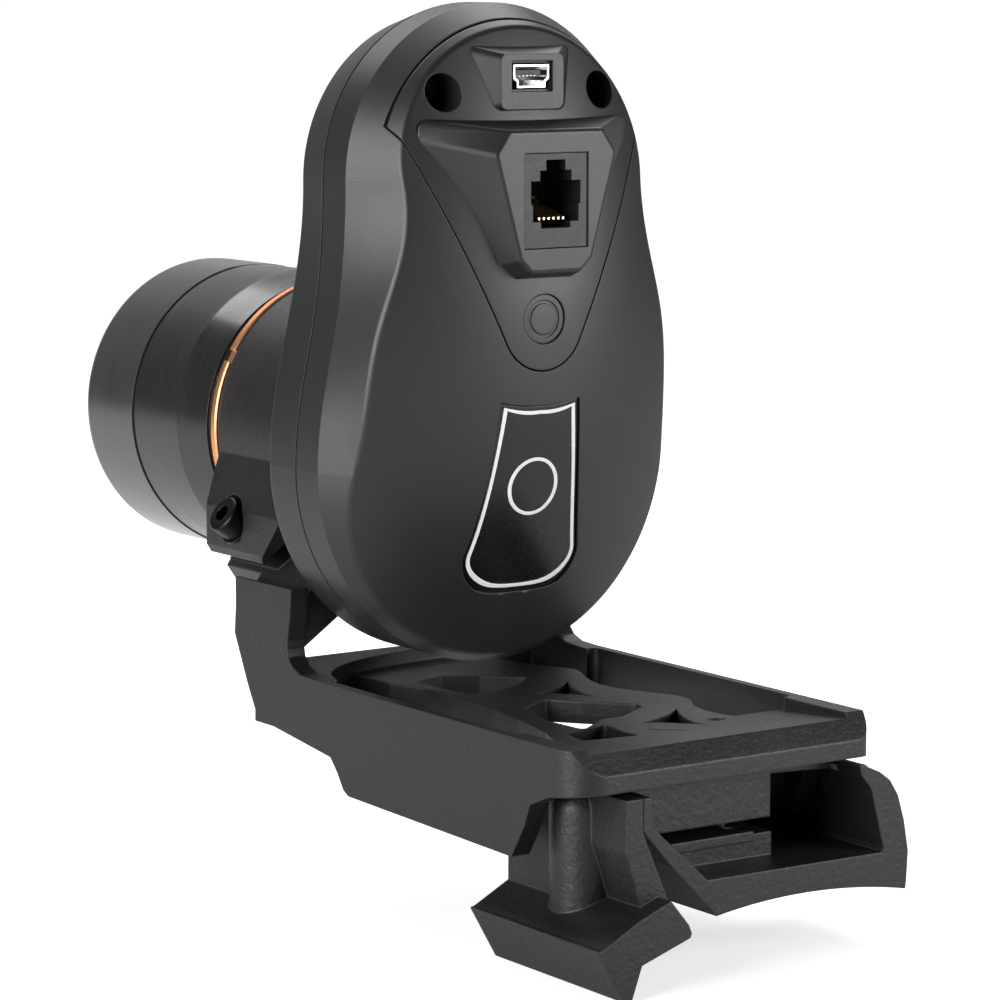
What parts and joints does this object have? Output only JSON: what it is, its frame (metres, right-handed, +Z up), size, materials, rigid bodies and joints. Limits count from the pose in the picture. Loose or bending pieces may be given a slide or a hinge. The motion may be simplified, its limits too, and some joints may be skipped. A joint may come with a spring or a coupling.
{
  "type": "telescope alignment camera with clamp bracket",
  "caption": "Egg-shaped telescope alignment camera with a focusing lens, held by a split ring clamp on a ribbed tray bracket with a saddle foot for a curved tube.",
  "frame": {"origin": "on the seat of the saddle, straight below the optical axis and at mid length of the foot", "axes": "+X right seen from behind the camera, +Y forward along the optical axis, +Z up, away from the telescope tube"},
  "size_m": [0.0745, 0.1735, 0.1595],
  "materials": {
    "bracket_casting": "satin black paint over a fine cast grain",
    "foot_casting": "satin black paint over a coarser cast grain",
    "housing_plastic": "finely grained satin black",
    "panel_plastic": "finely grained satin black, a shade lighter",
    "emblem_plastic": "smooth dark grey",
    "badge_black": "smooth gloss black",
    "badge_silver": "satin silver print",
    "seal_rubber": "matt black",
    "dark_screw": "blackened",
    "black_steel": "black oxide, slightly oily",
    "brass_insert": "turned",
    "jack_plastic": "smooth moulded black",
    "gold_contact": "gold plated",
    "port_steel": "tin plated",
    "circuit_board": "green solder mask",
    "chip_black": "moulded epoxy",
    "sensor_glass": "dark glossy cover",
    "barrel_anodised": "black anodised, fine turning",
    "cell_anodised": "black anodised, satin",
    "hood_gloss": "gloss black",
    "lens_glass": "coated, clear",
    "copper_ring": "orange anodised"
  },
  "bodies": {
    "bracket": {"bracket_frame": "bracket_casting", "clamp_insert": "brass_insert", "clamp_jaw": "foot_casting", "saddle_cradle": "foot_casting", "foot_screws": "black_steel"},
    "camera": {"rear_shell": "housing_plastic", "front_shell": "housing_plastic", "shell_seal": "seal_rubber", "connector_panel": "panel_plastic", "panel_screws": "dark_screw", "shell_screws": "dark_screw", "emblem_disc": "emblem_plastic", "badge_plate": "badge_black", "badge_border": "badge_silver", "jack_housing": "jack_plastic", "jack_contacts": "gold_contact", "usb_shell": "port_steel", "usb_tongue": "jack_plastic", "usb_contacts": "gold_contact", "main_board": "circuit_board", "board_chips": "chip_black", "board_header": "chip_black", "sensor_board": "circuit_board", "image_sensor": "sensor_glass", "sensor_standoffs": "brass_insert", "lens_barrel": "barrel_anodised", "barrel_screws": "dark_screw", "field_lens": "lens_glass", "field_ring": "cell_anodised"},
    "clamp_carriage": {"clamp_washer": "black_steel"},
    "clamp_screw": {"clamp_screw": "black_steel"},
    "focus_carriage": {"focus_oring": "seal_rubber"},
    "objective": {"objective_cell": "cell_anodised", "rear_lens": "lens_glass", "lens_spacer": "cell_anodised", "front_lens": "lens_glass", "retaining_ring": "cell_anodised", "lens_hood": "hood_gloss"},
    "lock_ring": {"lock_ring": "copper_ring"}
  },
  "joints": [
    {"name": "camera_roll", "type": "hinge", "parent": "bracket", "child": "camera", "pos_m": [0, 0.088, 0.07], "axis": [0, 1, 0], "range_deg": [-90, 90]},
    {"name": "clamp_screw_travel", "type": "slide", "parent": "bracket", "child": "clamp_carriage", "axis": [-0.8202, 0, 0.5721], "range_m": [0, 0.0012]},
    {"name": "clamp_screw_turn", "type": "hinge", "parent": "clamp_carriage", "child": "clamp_screw", "pos_m": [-0.01688, 0.094, 0.04581], "axis": [-0.8202, 0, 0.5721], "range_deg": [0, 617.14]},
    {"name": "focus_travel", "type": "slide", "parent": "camera", "child": "focus_carriage", "axis": [0, 1, 0], "range_m": [0, 0.0015]},
    {"name": "focus_turn", "type": "hinge", "parent": "focus_carriage", "child": "objective", "pos_m": [0, 0.12, 0.07], "axis": [0, 1, 0], "range_deg": [0, 540]},
    {"name": "lock_ring_turn", "type": "hinge", "parent": "camera", "child": "lock_ring", "pos_m": [0, 0.1045, 0.07], "axis": [0, 1, 0], "range_deg": [0, 90]}
  ],
  "couplings": [
    {"joint": "clamp_screw_turn", "follows": "clamp_screw_travel", "rad_per_m": 8976},
    {"joint": "focus_turn", "follows": "focus_travel", "rad_per_m": 6283.2}
  ]
}
